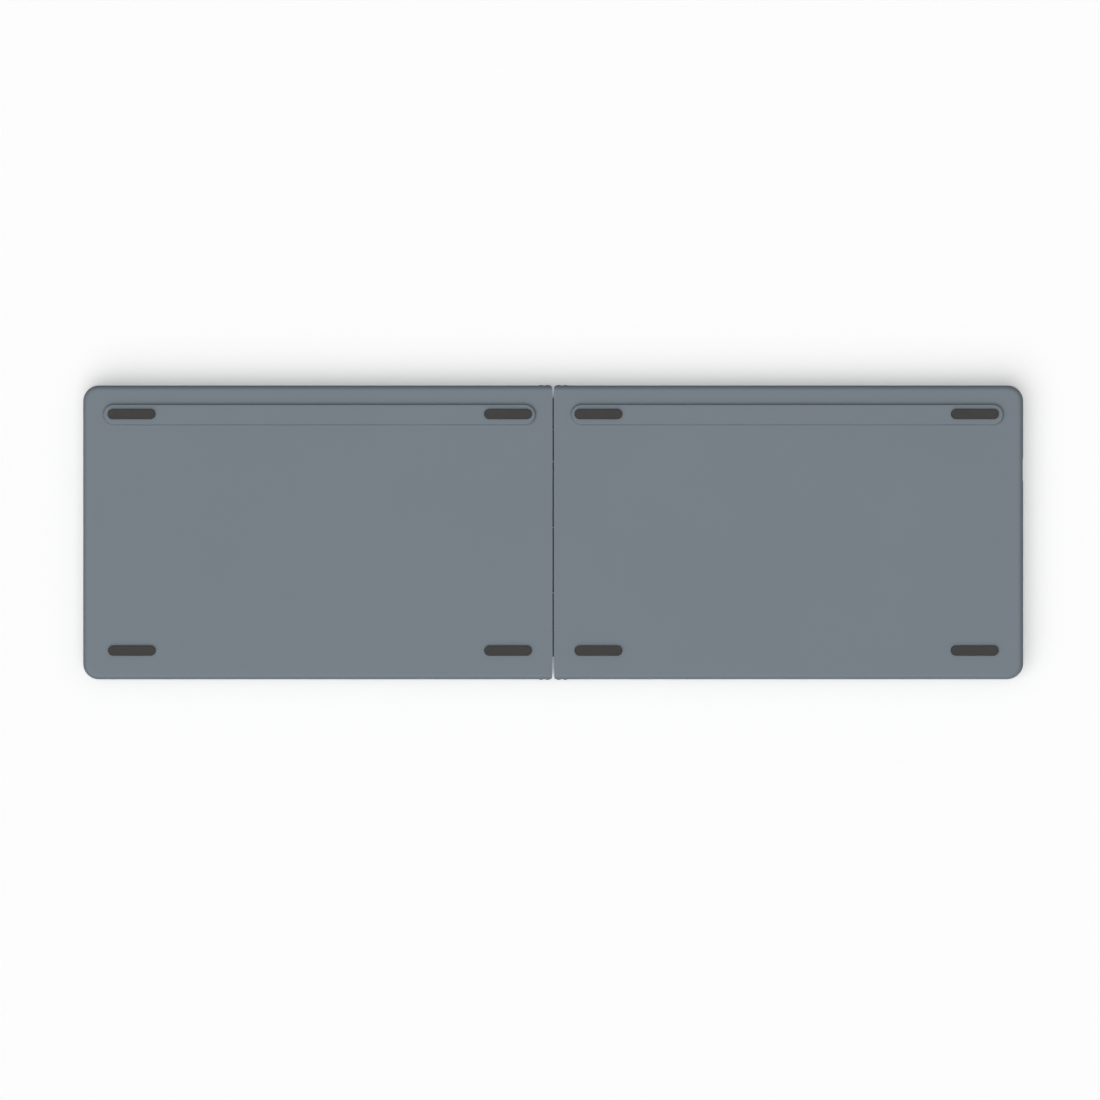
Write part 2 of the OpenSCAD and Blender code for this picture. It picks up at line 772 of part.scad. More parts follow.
// Feet of one half, ground level with the desk
module feet_on_desk() {
    difference() {
        children();
        translate([-half_w, -body_d, -lift]) cube([2 * half_w, 2 * body_d, lift]);
    }
}

module feet_right() color("#454442") feet_on_desk() right() feet();
module feet_left() color("#454442") feet_on_desk() left() feet();

module screws() {
    at_screws() translate([0, 0, pocket_t]) {
        cylinder(r = head_r, h = head_h);
        cylinder(r = screw_r, h = z_membrane - snug_gap - pocket_t);
    }
    for (y = leaf_screw_ys) translate([leaf_screw_x, y, z_leaf + leaf_t / 2]) {
        cylinder(r = leaf_head_r, h = leaf_t / 2);
        translate([0, 0, 2 * close_gap - leaf_t / 2 - leaf_screw_l])
            cylinder(r = leaf_screw_r, h = leaf_screw_l + leaf_t / 2);
    }
}

module screws_right() color("#8d9094") right() screws();
module screws_left() color("#8d9094") left() screws();

module magnets() {
    at_magnets()
        translate([-magnet_size[0] / 2, -magnet_size[1] / 2, z_rim - magnet_skin - magnet_size[2]])
            cube(magnet_size);
}

module magnets_right() color("#c9ccce") right() magnets();
module magnets_left() color("#c9ccce") left() magnets();

// ---- hinge ----

// Leaf of one half: first is its knuckle nearest the rear edge, 0 on the left and 1 on the right
module leaf(first) {
    difference() {
        union() {
            translate([barrel_r + barrel_gap, barrel_y1, z_leaf])
                cube([leaf_w - barrel_r - barrel_gap, barrel_y2 - barrel_y1, leaf_t]);
            for (n = [first, first + 2, first + 4]) translate([0, knuckle_y(n) - knuckle_ls[n], z_leaf]) {
                cube([leaf_w, knuckle_ls[n], leaf_t]);
                translate([0, knuckle_ls[n], barrel_r]) rotate([90, 0, 0])
                    cylinder(r = barrel_r, h = knuckle_ls[n]);
            }
        }
        for (n = [first, first + 4]) hollow(n, pin_r + (first == 0 ? tight_gap : pin_gap));
        hollow(first + 2, sleeve_r);
        for (y = leaf_screw_ys) translate([leaf_screw_x, y, z_leaf - cut]) {
            cylinder(r = leaf_screw_r + close_gap, h = leaf_t + 2 * cut);
            translate([0, 0, leaf_t / 2 + cut]) cylinder(r = leaf_head_r + snug_gap, h = leaf_t);
        }
        // slot for the flex ribbon
        slot_w = ribbon_w + ribbon_room;
        translate([riser_x - ribbon_room / 2, ribbon_y(first + 2) - slot_w / 2, z_leaf - cut])
            cube([ribbon_t + ribbon_room, slot_w, barrel_r]);
    }
}

// Bore through knuckle n
module hollow(n, r) {
    translate([0, knuckle_y(n) + cut, z_axis]) rotate([90, 0, 0])
        cylinder(r = r, h = knuckle_ls[n] + 2 * cut);
}

module leaf_right() color("#5d646a") right() leaf(1);
module leaf_left() color("#5d646a") left() leaf(0);

// One pin through the two rear knuckles and one through the two front ones
module pins() {
    color("#c4c7ca") on_desk() for (n = [0, 4])
        translate([0, knuckle_y(n), z_axis]) rotate([90, 0, 0])
            cylinder(r = pin_r, h = 2 * knuckle_l + knuckle_gap);
}

// Flex ribbon of one half, from its rolled end in the sleeve to x2
module ribbon(n, x2) {
    y = ribbon_y(n);
    z_top = z_axis - roll_r / 2;
    translate([riser_x, y - ribbon_w / 2, z_ribbon]) {
        cube([x2 - riser_x, ribbon_w, ribbon_t]);
        cube([ribbon_t, ribbon_w, z_top - z_ribbon]);
    }
    translate([0, y - ribbon_w / 2, z_top - ribbon_t]) cube([riser_x + ribbon_t / 2, ribbon_w, ribbon_t]);
    y_far = n == 2 ? y + ribbon_w / 2 : knuckle_y(3);
    y_near = n == 2 ? knuckle_y(2) - sleeve_l : y - ribbon_w / 2;
    translate([0, y_far, z_axis]) rotate([90, 0, 0]) cylinder(r = roll_r, h = y_far - y_near);
}

module ribbon_right() color("#a8642a") right() ribbon(3, battery_x1);
module ribbon_left() color("#a8642a") left() ribbon(2, board_x1 + ribbon_tail);

// ---- electronics ----

module main_board() {
    color("#2f5d46") left() translate([0, 0, floor_t + board_lift]) difference() {
        translate([board_x1, board_y1, 0]) cube([board_size[0], board_size[1], board_t]);
        at_screws() translate([0, 0, -cut]) cylinder(r = pad_r + board_hole_gap, h = board_t + 2 * cut);
        translate([0, 0, -floor_t - board_lift]) socket_room(port_gap);
    }
}

module radio_module() {
    z = floor_t + board_lift + board_t;
    color("#b9bdc0") left()
        translate([board_x1 + module_in[0], board_y2 - module_size[1] - module_in[1], z])
            cube(module_size);
}

module battery() {
    color("#9aa0a6") right()
        translate([battery_x1, ribbon_y(3) - battery_size[1] / 2 + battery_up, floor_t])
            cube(battery_size);
}

module charging_socket() {
    shell_w = socket_size[0];
    color("#c2c5c8") left() translate([socket_x1, socket_y, socket_z]) rotate([90, 0, 90]) {
        difference() {
            linear_extrude(socket_size[2]) stadium(shell_w, socket_size[1]);
            translate([0, 0, socket_back]) linear_extrude(socket_size[2])
                stadium(shell_w - 2 * socket_t, socket_size[1] - 2 * socket_t);
        }
        translate([-shell_w / 2 + tongue_in[0], -tongue_t / 2, socket_back / 2])
            cube([shell_w - 2 * tongue_in[0], tongue_t, socket_size[2] - socket_back / 2 - tongue_in[1]]);
    }
}

module power_switch_body() {
    color("#3a3d40") left() difference() {
        translate([switch_x2 - switch_d, switch_y - switch_l / 2, floor_t])
            cube([switch_d, switch_l, switch_h]);
        translate([switch_x2 - switch_track, switch_y - switch_l / 2 + track_end,
                switch_z - knob_size[1] / 2 - close_gap])
            cube([switch_track + cut, switch_l - 2 * track_end, knob_size[1] + 2 * close_gap]);
    }
}

// Knob, pushed to the front end of its slot, which is off
module power_switch_knob() {
    y = switch_y - knob_travel / 2;
    color("#2b2d2f") left()
        translate([switch_x2 - knob_root, y - knob_size[0] / 2, switch_z - knob_size[1] / 2])
            cube([knob_root + wall - close_gap, knob_size[0], knob_size[1]]);
}

module status_lights() {
    color("#e8f4ff") left() at_lights() translate([0, 0, z_sheet]) cylinder(r = light_r, h = z_rim - z_sheet);
}

case_left();  // bottom_case_left
case_right();  // bottom_case_right
deck_left();  // deck_frame_left
deck_right();  // deck_frame_right
plate_left();  // support_plate_left
plate_right();  // support_plate_right
membrane_left();
membrane_right();
domes_left();  // key_domes_left
domes_right();  // key_domes_right
links_left();  // scissor_links_left
links_right();  // scissor_links_right
wires_left();  // stabiliser_wires_left
wires_right();  // stabiliser_wires_right
feet_left();
feet_right();
screws_left();
screws_right();
magnets_left();
magnets_right();
leaf_left();  // hinge_leaf_left
leaf_right();  // hinge_leaf_right
pins();  // hinge_pins
ribbon_left();  // flex_ribbon_left
ribbon_right();  // flex_ribbon_right
main_board();
radio_module();
battery();
charging_socket();
power_switch_body();
power_switch_knob();
status_lights();
left_keys(0, 0, 0);  // esc_key
left_keys(0, 1, 6);  // number_keys_left
left_keys(1, 0, 0);  // tab_key
left_keys(1, 1, 5);  // upper_letter_keys_left
left_keys(2, 0, 0);  // caps_lock_key
left_keys(2, 1, 5);  // home_letter_keys_left
left_keys(3, 0, 0);  // shift_key_left
left_keys(3, 1, 5);  // lower_letter_keys_left
left_keys(4, 0, 0);  // ctrl_key_left
left_keys(4, 1, 1);  // fn_key
left_keys(4, 2, 2);  // system_key
left_keys(4, 3, 3);  // alt_key_left
left_keys(4, 4, 4);  // space_key_left
right_keys(0, 0, 5);  // number_keys_right
right_keys(0, 6, 6);  // backspace_key
right_keys(1, 0, 6);  // upper_letter_keys_right
right_keys(1, 7, 7);  // backslash_key
right_keys(2, 0, 5);  // home_letter_keys_right
right_keys(2, 6, 6);  // enter_key
right_keys(3, 0, 4);  // lower_letter_keys_right
right_keys(3, 5, 5);  // arrow_up_key
right_keys(3, 6, 6);  // shift_key_right
right_keys(4, 0, 0);  // space_key_right
right_keys(4, 1, 1);  // alt_key_right
right_keys(4, 2, 2);  // ctrl_key_right
right_keys(4, 3, 3);  // arrow_left_key
right_keys(4, 4, 4);  // arrow_down_key
right_keys(4, 5, 5);  // arrow_right_key
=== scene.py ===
import json
import math

import bmesh
import bpy
from mathutils import Matrix, Vector


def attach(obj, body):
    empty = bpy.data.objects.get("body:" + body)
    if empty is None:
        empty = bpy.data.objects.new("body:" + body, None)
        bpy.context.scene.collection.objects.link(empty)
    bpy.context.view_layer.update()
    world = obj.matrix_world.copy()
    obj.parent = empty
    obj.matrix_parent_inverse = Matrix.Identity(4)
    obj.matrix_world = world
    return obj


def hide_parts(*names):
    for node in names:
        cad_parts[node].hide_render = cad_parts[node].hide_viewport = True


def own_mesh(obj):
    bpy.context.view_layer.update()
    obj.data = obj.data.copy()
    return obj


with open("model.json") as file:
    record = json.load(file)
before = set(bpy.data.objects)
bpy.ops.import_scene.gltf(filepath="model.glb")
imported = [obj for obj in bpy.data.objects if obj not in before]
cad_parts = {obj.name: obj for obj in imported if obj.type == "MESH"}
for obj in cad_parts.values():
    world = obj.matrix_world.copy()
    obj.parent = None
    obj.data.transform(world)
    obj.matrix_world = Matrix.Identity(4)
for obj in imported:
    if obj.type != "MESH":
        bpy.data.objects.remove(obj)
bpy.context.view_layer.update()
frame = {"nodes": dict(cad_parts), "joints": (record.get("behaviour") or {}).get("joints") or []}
MM = 0.001

# The open keyboard is tipped up by the ridge under its rear edge. Every piece is drawn level, with
# the flat underside at z = 0 and the seam at x = 0, and is then set on the desk as the fold joint's
# axis lies.
fold = next(joint for joint in frame["joints"] if joint["name"] == "fold")
TILT = math.atan2(fold["axis"][2], fold["axis"][1]) + math.pi
AXIS_Z = -fold["pos_m"][1] / math.sin(TILT)
LIFT = fold["pos_m"][2] - AXIS_Z * math.cos(TILT)
ON_DESK = Matrix.Translation((0, 0, LIFT)) @ Matrix.Rotation(TILT, 4, "X")

# ---- camera ----
# Under the keyboard and square to its flat underside, with the ridge at the top of the picture.
# A long lens keeps the two halves' outlines parallel, as a product photograph has them.
PIXEL = 0.3189 * MM
PIXELS = 1100
SEAM_PIXEL = 553.2
MIDDLE_PIXEL = 532.4
camera_data = bpy.data.cameras.new("camera")
camera_data.lens = 200
camera_data.sensor_width = 36
camera = bpy.data.objects.new("camera", camera_data)
scene = bpy.context.scene
scene.collection.objects.link(camera)
scene.camera = camera
distance = PIXELS * PIXEL * camera_data.lens / camera_data.sensor_width
aim_x = (SEAM_PIXEL - PIXELS / 2) * PIXEL
aim_y = (MIDDLE_PIXEL - PIXELS / 2) * PIXEL
camera_place = Matrix.Translation((aim_x, aim_y, -distance)) @ Matrix.Rotation(math.pi, 4, "Y")
camera.matrix_world = ON_DESK @ camera_place
camera_data.clip_start = 0.01
camera_data.clip_end = 20
scene.view_settings.view_transform = "Standard"

# ---- floor, table, lamps and world ----
# Two plain pale sheets that only the camera sees: a floor under the feet, seen from above, and the
# table that the keys lie on in the photograph, seen from below. Each is clear from its back.
SHEET_SIZE = 6.0
BARREL_R = 2.0 * MM


def hex_colour(code):
    """The linear colour of an sRGB hex code, with full alpha."""
    channels = [int(code[i : i + 2], 16) / 255 for i in (1, 3, 5)]
    linear = [c / 12.92 if c <= 0.04045 else ((c + 0.055) / 1.055) ** 2.4 for c in channels]
    return (*linear, 1.0)


def add_node(tree, kind, settings=None, links=None):
    """Adds a node. Settings go to its properties and sockets, and links feed its sockets."""
    node = tree.nodes.new(kind)
    for name, value in (settings or {}).items():
        if isinstance(name, int) or name in node.inputs:
            node.inputs[name].default_value = value
        else:
            setattr(node, name, value)
    for name, source in (links or {}).items():
        tree.links.new(source, node.inputs[name])
    return node


def new_material(name):
    """An empty material's node tree, and its output node."""
    material = bpy.data.materials.new(name)
    material.use_nodes = True
    material.node_tree.nodes.clear()
    return material, material.node_tree, add_node(material.node_tree, "ShaderNodeOutputMaterial")


def pale_paper(name, colour, glow):
    """Matt paper for a backdrop, with a little light of its own for the camera, clear from its back."""
    material, tree, output = new_material(name)
    paper = add_node(tree, "ShaderNodeBsdfDiffuse", {"Color": hex_colour(colour)})
    rays = add_node(tree, "ShaderNodeLightPath")
    seen = add_node(tree, "ShaderNodeMapRange", {"To Max": glow},
                    {"Value": rays.outputs["Is Camera Ray"]})
    own = add_node(tree, "ShaderNodeEmission", links={"Strength": seen.outputs[0]})
    both = add_node(tree, "ShaderNodeAddShader", links={0: paper.outputs[0], 1: own.outputs[0]})
    clear = add_node(tree, "ShaderNodeBsdfTransparent")
    side = add_node(tree, "ShaderNodeNewGeometry")
    mix = add_node(tree, "ShaderNodeMixShader",
                   links={0: side.outputs["Backfacing"], 1: both.outputs[0], 2: clear.outputs[0]})
    tree.links.new(mix.outputs[0], output.inputs["Surface"])
    return material


def add_backdrop(name, matrix, material):
    """A large flat sheet that faces along its own Z, seen by the camera alone."""
    bm = bmesh.new()
    bmesh.ops.create_grid(bm, x_segments=1, y_segments=1, size=SHEET_SIZE / 2, matrix=matrix)
    mesh = bpy.data.meshes.new(name)
    bm.to_mesh(mesh)
    bm.free()
    mesh.materials.append(material)
    sheet = bpy.data.objects.new(name, mesh)
    scene.collection.objects.link(sheet)
    sheet.visible_diffuse = False
    sheet.visible_glossy = False
    sheet.visible_transmission = False
    sheet.visible_shadow = False


add_backdrop("floor", Matrix.Identity(4), pale_paper("floor paper", "#fbfbfb", 0.18))
facing_down = Matrix.Translation((0, 0, AXIS_Z + BARREL_R)) @ Matrix.Rotation(math.pi, 4, "X")
add_backdrop("table", ON_DESK @ facing_down, pale_paper("table paper", "#fefefe", 0.165))


def add_sun(name, towards, strength, softness):
    """A wide soft lamp that shines from the direction towards, in the keyboard's own frame."""
    lamp = bpy.data.lights.new(name, "SUN")
    lamp.energy = strength
    lamp.angle = math.radians(softness)
    holder = bpy.data.objects.new(name, lamp)
    scene.collection.objects.link(holder)
    direction = ON_DESK.to_3x3() @ Vector(towards)
    holder.rotation_euler = direction.to_track_quat("Z", "Y").to_euler()


add_sun("lamp below", (0.28, -0.5, -1.0), 1.65, 75)
add_sun("lamp above", (-0.45, -0.55, 1.0), 1.6, 35)
HORIZON_LIGHT = 0.18
OVERHEAD_LIGHT = 0.65
world = bpy.data.worlds.new("studio")
scene.world = world
world.use_nodes = True
tree = world.node_tree
tree.nodes.clear()
direction = add_node(tree, "ShaderNodeTexCoord").outputs["Generated"]
axes = add_node(tree, "ShaderNodeSeparateXYZ", links={"Vector": direction})
height = add_node(tree, "ShaderNodeMath", {"operation": "ABSOLUTE"}, {0: axes.outputs["Z"]})
overhead = add_node(tree, "ShaderNodeMath", {"operation": "POWER", 1: 3.0}, {0: height.outputs[0]})
light = add_node(tree, "ShaderNodeMapRange", {"To Min": HORIZON_LIGHT, "To Max": OVERHEAD_LIGHT},
                 {"Value": overhead.outputs[0]})
rays = add_node(tree, "ShaderNodeLightPath")
level = add_node(tree, "ShaderNodeMix", {"data_type": "FLOAT", "B": 1.0},
                 {"Factor": rays.outputs["Is Camera Ray"], "A": light.outputs[0]})
room = add_node(tree, "ShaderNodeBackground", {"Color": (1, 1, 1, 1)}, {"Strength": level.outputs[0]})
add_node(tree, "ShaderNodeOutputWorld", links={"Surface": room.outputs[0]})

# ---- bottom cases ----
# The two shallow trays that the photograph shows from underneath, with the hollow ridge along the
# rear edge. Injection-moulded ABS in blue-grey, with a fine spark-eroded texture.


def moulded_plastic(name, colour, roughness, grain_mm, depth_mm, cloud=0.03):
    """A moulded plastic: satin, evenly coloured, with the spark-eroded grain of its mould.

    The real grain is about 0.05 mm; it is drawn coarser so that it shows."""
    material, tree, output = new_material(name)
    place = add_node(tree, "ShaderNodeTexCoord").outputs["Object"]
    grain = add_node(tree, "ShaderNodeTexNoise", {"Scale": 1 / (grain_mm * MM), "Detail": 3.0},
                     {"Vector": place})
    clouds = add_node(tree, "ShaderNodeTexNoise", {"Scale": 1 / (45 * MM), "Detail": 2.0},
                      {"Vector": place})
    base = hex_colour(colour)
    tone = add_node(tree, "ShaderNodeMix",
                    {"data_type": "RGBA", 6: [c * (1 - cloud) for c in base[:3]] + [1],
                     7: [c * (1 + cloud) for c in base[:3]] + [1]}, {0: clouds.outputs["Fac"]})
    sheen = add_node(tree, "ShaderNodeMapRange",
                     {"To Min": roughness - 0.06, "To Max": roughness + 0.06},
                     {"Value": grain.outputs["Fac"]})
    relief = add_node(tree, "ShaderNodeBump", {"Strength": 1.0, "Distance": depth_mm * MM},
                      {"Height": grain.outputs["Fac"]})
    shader = add_node(tree, "ShaderNodeBsdfPrincipled", {"IOR": 1.5},
                      {"Base Color": tone.outputs[2], "Roughness": sheen.outputs[0],
                       "Normal": relief.outputs[0]})
    tree.links.new(shader.outputs[0], output.inputs["Surface"])
    return material


def dress(material, *nodes):
    """Gives carried-over CAD nodes their material."""
    for node in nodes:
        mesh = frame["nodes"][node].data
        mesh.materials.clear()
        mesh.materials.append(material)


def both_halves(node):
    """The names of a node that both halves have."""
    return node + "_left", node + "_right"


dress(moulded_plastic("blue-grey moulded ABS", "#76818a", 0.52, 0.6, 0.012),
      *both_halves("bottom_case"))

# ---- main board, radio module and battery ----
# A glass-epoxy board with green solder mask over its copper, a tinned shield over the radio, and a
# pouch cell in aluminium laminate. They lie in the bay, held by double-sided tape and four posts.
TRACK_PITCH = 1.6 * MM


def solder_mask(name, colour, track_colour):
    """Solder mask: glossy and slightly clear, paler where it lies over the copper tracks."""
    material, tree, output = new_material(name)
    place = add_node(tree, "ShaderNodeTexCoord").outputs["Object"]
    tracks = add_node(tree, "ShaderNodeTexBrick",
                      {"Scale": 1.0, "Brick Width": 9 * TRACK_PITCH, "Row Height": TRACK_PITCH,
                       "Mortar Size": 0.2 * TRACK_PITCH, "Color1": hex_colour(colour),
                       "Color2": hex_colour(colour), "Mortar": hex_colour(track_colour)},
                       {"Vector": place})
    relief = add_node(tree, "ShaderNodeBump", {"Distance": 0.03 * MM},
                      {"Height": tracks.outputs["Fac"]})
    shader = add_node(tree, "ShaderNodeBsdfPrincipled", {"IOR": 1.5, "Roughness": 0.28},
                      {"Base Color": tracks.outputs["Color"], "Normal": relief.outputs[0]})
    tree.links.new(shader.outputs[0], output.inputs["Surface"])
    return material


def bare_metal(name, colour, roughness, streak_mm, depth_mm=0.002):
    """A metal surface with the fine streaks that rolling, drawing, grinding or plating leaves.

    streak_mm is the size of a streak along X, Y and Z; the real ones are a tenth as wide."""
    material, tree, output = new_material(name)
    place = add_node(tree, "ShaderNodeTexCoord").outputs["Object"]
    turned = add_node(tree, "ShaderNodeMapping", {"Scale": [1 / (size * MM) for size in streak_mm]},
                      {"Vector": place})
    streaks = add_node(tree, "ShaderNodeTexNoise", {"Scale": 1.0, "Detail": 4.0},
                       {"Vector": turned.outputs[0]})
    base = hex_colour(colour)
    tone = add_node(tree, "ShaderNodeMix",
                    {"data_type": "RGBA", 6: [c * 0.88 for c in base[:3]] + [1], 7: base},
                    {0: streaks.outputs["Fac"]})
    gloss = add_node(tree, "ShaderNodeMapRange",
                     {"To Min": roughness - 0.08, "To Max": roughness + 0.1},
                     {"Value": streaks.outputs["Fac"]})
    relief = add_node(tree, "ShaderNodeBump", {"Distance": depth_mm * MM},
                      {"Height": streaks.outputs["Fac"]})
    shader = add_node(tree, "ShaderNodeBsdfPrincipled", {"Metallic": 1.0},
                      {"Base Color": tone.outputs[2], "Roughness": gloss.outputs[0],
                       "Normal": relief.outputs[0]})
    tree.links.new(shader.outputs[0], output.inputs["Surface"])
    return material


dress(solder_mask("green solder mask", "#2f5d46", "#4b8263"), "main_board")
dress(bare_metal("tinned shield", "#b9bdc0", 0.34, (3, 3, 3)), "radio_module")
dress(bare_metal("aluminium laminate", "#9aa0a6", 0.36, (7, 5, 5), 0.06), "battery")

# ---- charging socket and power switch ----
# A deep-drawn stainless socket in the left end wall, and beside it a slide switch in black nylon,
# soldered to the main board, with a ribbed knob that ends just inside its slot.
dress(bare_metal("drawn stainless steel", "#c2c5c8", 0.26, (4, 0.4, 0.4)), "charging_socket")
nylon = moulded_plastic("black moulded nylon", "#2f3234", 0.45, 0.4, 0.006)
dress(nylon, "power_switch_body")


def add_piece(name, bm, body, materials, stands_for=()):
    """Makes a piece of a bmesh that is drawn level in millimetres, in its place on the desk."""
    bmesh.ops.remove_doubles(bm, verts=bm.verts, dist=1e-4)
    bmesh.ops.recalc_face_normals(bm, faces=bm.faces)
    bm.transform(ON_DESK @ Matrix.Scale(MM, 4))
    mesh = bpy.data.meshes.new(name)
    bm.to_mesh(mesh)
    bm.free()
    for material in materials:
        mesh.materials.append(material)
    mesh.shade_smooth()
    mesh.set_sharp_from_angle(angle=math.radians(32))
    piece = bpy.data.objects.new(name, mesh)
    scene.collection.objects.link(piece)
    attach(piece, body)
    if stands_for:
        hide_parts(*stands_for)
    return piece


def add_block(bm, low, high, rounding=0.0):
    """A block between two corners, with all its edges rounded."""
    middle = [(a + b) / 2 for a, b in zip(low, high)]
    size = [b - a for a, b in zip(low, high)]
    made = bmesh.ops.create_cube(bm, size=1,
                                 matrix=Matrix.Translation(middle) @ Matrix.Diagonal((*size, 1)))
    if rounding:
        edges = {edge for vert in made["verts"] for edge in vert.link_edges}
        bmesh.ops.bevel(bm, geom=list(edges), offset=rounding, offset_type="OFFSET", segments=2,
                        profile=0.5, affect="EDGES", material=-1)


KNOB_LOW = (-149.75, 0.6, 1.45)
KNOB_HIGH = (-147.6, 3.4, 2.45)
KNOB_EDGE = 0.08
KNOB_RIBS = 5
RIB_W = 0.28
RIB_X = (-149.9, -149.6)
RIB_EDGE = 0.06
knob = bmesh.new()
add_block(knob, KNOB_LOW, KNOB_HIGH, KNOB_EDGE)
for rib in range(KNOB_RIBS):
    rib_y = KNOB_LOW[1] + (rib + 0.5) / KNOB_RIBS * (KNOB_HIGH[1] - KNOB_LOW[1])
    add_block(knob, (RIB_X[0], rib_y - RIB_W / 2, KNOB_LOW[2] + KNOB_EDGE),
              (RIB_X[1], rib_y + RIB_W / 2, KNOB_HIGH[2] - KNOB_EDGE), RIB_EDGE)
add_piece("switch_knob", knob, "power_switch_knob", [nylon], ["power_switch_knob"])

# ---- flex ribbon ----
# Two lengths of amber polyimide film with copper tracks, rolled up inside the hinge barrel, that
# join the boards of the two halves.
RIBBON_TRACK = 0.6 * MM
WAVE_PERIOD = 0.31  # of the bands of a wave texture whose scale is 1
film, tree, output = new_material("polyimide film with copper tracks")
place = add_node(tree, "ShaderNodeTexCoord").outputs["Object"]
tracks = add_node(tree, "ShaderNodeTexWave", {"bands_direction": "Y", "Scale": WAVE_PERIOD / RIBBON_TRACK},
                  {"Vector": place})
tone = add_node(tree, "ShaderNodeMix",
                {"data_type": "RGBA", 6: hex_colour("#a8642a"), 7: hex_colour("#7f4420")},
                {0: tracks.outputs["Fac"]})
relief = add_node(tree, "ShaderNodeBump", {"Distance": 0.02 * MM}, {"Height": tracks.outputs["Fac"]})
shader = add_node(tree, "ShaderNodeBsdfPrincipled", {"IOR": 1.65, "Roughness": 0.22},
                  {"Base Color": tone.outputs[2], "Normal": relief.outputs[0]})
tree.links.new(shader.outputs[0], output.inputs["Surface"])
dress(film, *both_halves("flex_ribbon"))

# ---- support plates, case screws and membranes ----
# Stamped steel plates with pressed-in nuts, screwed to the cases from below, and on them the
# laminated polyester film that senses the keys, with tracks printed in silver ink.
UNIT_X = 18.7
PRINTED_TRACK = 2.9 * MM
PRINTED_LINE = 0.3 * MM
dress(bare_metal("stamped sheet steel", "#a9adb0", 0.38, (12, 0.5, 0.5)), *both_halves("support_plate"))
dress(bare_metal("zinc-plated steel", "#8d9094", 0.3, (0.8, 0.8, 0.8)), *both_halves("screws"))
polyester, tree, output = new_material("polyester film with printed tracks")
place = add_node(tree, "ShaderNodeTexCoord").outputs["Object"]
tracks = add_node(tree, "ShaderNodeTexBrick",
                  {"Scale": 1.0, "Brick Width": UNIT_X * MM, "Row Height": PRINTED_TRACK,
                   "Mortar Size": PRINTED_LINE, "Color1": hex_colour("#cfe0d8"),
                   "Color2": hex_colour("#c8dad3"), "Mortar": hex_colour("#8f9a98")},
                  {"Vector": place})
shader = add_node(tree, "ShaderNodeBsdfPrincipled", {"IOR": 1.57, "Roughness": 0.2},
                  {"Base Color": tracks.outputs["Color"]})
tree.links.new(shader.outputs[0], output.inputs["Surface"])
dress(polyester, *both_halves("membrane"))

# ---- rubber domes ----
# One collapsing dome of clear silicone under each key, moulded with a thin skirt round its foot.
UNIT_Y = 17.2
KEY_GAP = 2.6
FIELD_X = {"left": -145.4, "right": 5.15}
SHEET_Z = 3.5
DOME_PROFILE = [(0, 0), (2.4, 0), (2.4, 0.16), (2.1, 0.26), (1.75, 0.8), (1.35, 1.25), (1.2, 1.5),
                (1.1, 1.6), (0, 1.6)]
DOME_SEGMENTS = 20


def keys(node, legends, units=1):
    """Keys of one body that are equally wide, from left to right."""
    return [(node, units, legend) for legend in legends]


def shifted(upper, lower):
    """Legends of keys that have two signs, the upper over the lower one."""
    return [a + "\n" + b for a, b in zip(upper, lower)]


KEY_ROWS = {
    "left": [
        keys("esc_key", ["Esc"], 1.5) + keys("number_keys_left", shifted("!@#$%^", "123456")),
        keys("tab_key", ["Tab"], 2) + keys("upper_letter_keys_left", "QWER")
        + keys("upper_letter_keys_left", "T", 1.5),
        keys("caps_lock_key", ["Caps"], 2.25) + keys("home_letter_keys_left", "ASDF")
        + keys("home_letter_keys_left", "G", 1.25),
        keys("shift_key_left", ["Shift"], 2.5) + keys("lower_letter_keys_left", "ZXCVB"),
        keys("ctrl_key_left", ["Ctrl"], 1.25) + keys("fn_key", ["Fn"]) + keys("system_key", [""])
        + keys("alt_key_left", ["Alt"], 1.25) + keys("space_key_left", [""], 3),
    ],
    "right": [
        keys("number_keys_right", shifted("&*()_+", "7890-=")) + keys("backspace_key", ["Back"], 1.5),
        keys("upper_letter_keys_right", ["Y", "U", "I", "O", "P", "{\n["])
        + keys("upper_letter_keys_right", ["}\n]"], 0.75) + keys("backslash_key", ["|\n\\"], 0.75),
        keys("home_letter_keys_right", ["H", "J", "K", "L", ":\n;", "\"\n'"])
        + keys("enter_key", ["Enter"], 1.5),
        keys("lower_letter_keys_right", "N", 1.5)
        + keys("lower_letter_keys_right", ["M", "<\n,", ">\n.", "?\n/"])
        + keys("arrow_up_key", ["up"]) + keys("shift_key_right", ["Shift"]),
        keys("space_key_right", [""], 2.5) + keys("alt_key_right", ["Alt"])
        + keys("ctrl_key_right", ["Ctrl"]) + keys("arrow_left_key", ["left"])
        + keys("arrow_down_key", ["down"]) + keys("arrow_right_key", ["right"]),
    ],
}
KEYS = {}
for side, key_rows in KEY_ROWS.items():
    middle_row = (len(key_rows) - 1) / 2
    for row, row_keys in enumerate(key_rows):
        x = FIELD_X[side]
        for node, units, legend in row_keys:
            spot = (x + units * UNIT_X / 2, (middle_row - row) * UNIT_Y)
            KEYS.setdefault((side, node), []).append((spot, units, legend))
            x += units * UNIT_X


